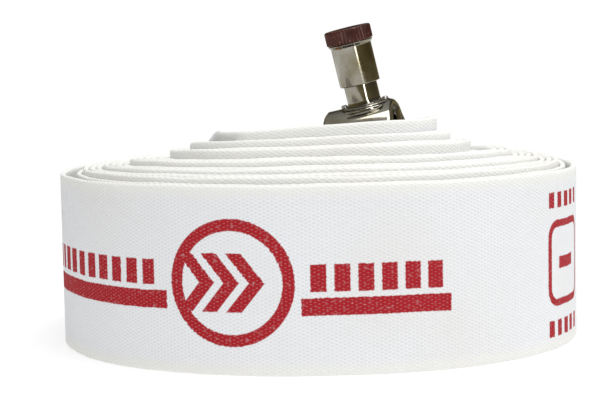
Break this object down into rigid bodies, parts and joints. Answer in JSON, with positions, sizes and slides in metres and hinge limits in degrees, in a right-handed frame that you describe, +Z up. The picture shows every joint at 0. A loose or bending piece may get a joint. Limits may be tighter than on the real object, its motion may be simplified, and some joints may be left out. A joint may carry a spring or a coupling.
{
  "type": "rolled fire hose",
  "caption": "Lay-flat fire hose rolled on edge into a stepped coil, with a latch coupling upright in its centre and a plain spigot coupling behind it.",
  "frame": {"origin": "centre of the bounding box at the ground the roll stands on", "axes": "+Z up, +Y towards the male coupling behind the roll, +X towards the female coupling's mouth"},
  "size_m": [0.3166, 0.3872, 0.1907],
  "materials": {
    "jacket_weave": "woven matt",
    "lining_rubber": "matt",
    "plated_metal": "polished plate",
    "machined_metal": "machined",
    "grip_enamel": "satin dark red",
    "seal_rubber": "matt",
    "binding_wire": "bare copper-coloured wire",
    "binding_sleeve": "matt",
    "spring_steel": "bright"
  },
  "bodies": {
    "hose_and_couplings": {"jacket_inner_end": "jacket_weave", "jacket_turns_1": "jacket_weave", "jacket_turns_2": "jacket_weave", "jacket_turns_3": "jacket_weave", "jacket_turns_4": "jacket_weave", "jacket_turns_5": "jacket_weave", "jacket_turns_6": "jacket_weave", "jacket_turns_7": "jacket_weave", "jacket_outer_end": "jacket_weave", "rubber_lining": "lining_rubber", "female_body": "plated_metal", "female_seal": "seal_rubber", "female_tail": "plated_metal", "female_lock_ring": "spring_steel", "female_hose_guard": "binding_sleeve", "female_wire_binding": "binding_wire", "upper_latch_housing": "plated_metal", "upper_latch_gland": "machined_metal", "upper_latch_screw_1": "machined_metal", "upper_latch_screw_2": "machined_metal", "upper_latch_spring": "spring_steel", "lower_latch_housing": "plated_metal", "lower_latch_gland": "machined_metal", "lower_latch_screw_1": "machined_metal", "lower_latch_screw_2": "machined_metal", "lower_latch_spring": "spring_steel", "male_body": "plated_metal", "male_tail": "plated_metal", "male_lock_ring": "spring_steel", "male_hose_guard": "binding_sleeve", "male_wire_binding": "binding_wire"},
    "upper_latch": {"upper_latch_plunger": "machined_metal", "upper_latch_pull_sleeve": "plated_metal", "upper_latch_grip_cap": "grip_enamel", "upper_latch_lock_nut": "machined_metal"},
    "lower_latch": {"lower_latch_plunger": "machined_metal", "lower_latch_pull_sleeve": "plated_metal", "lower_latch_grip_cap": "grip_enamel", "lower_latch_lock_nut": "machined_metal"}
  },
  "joints": [
    {"name": "upper_latch_pull", "type": "slide", "parent": "hose_and_couplings", "child": "upper_latch", "axis": [-0.2224, -0.0507, 0.9736], "range_m": [0, 0.007], "stiffness_N_per_m": 900, "springref_m": -0.01, "deforming": ["upper_latch_spring"]},
    {"name": "lower_latch_pull", "type": "slide", "parent": "hose_and_couplings", "child": "lower_latch", "axis": [0.2224, 0.0507, -0.9736], "range_m": [0, 0.007], "stiffness_N_per_m": 900, "springref_m": -0.01, "deforming": ["lower_latch_spring"]}
  ]
}
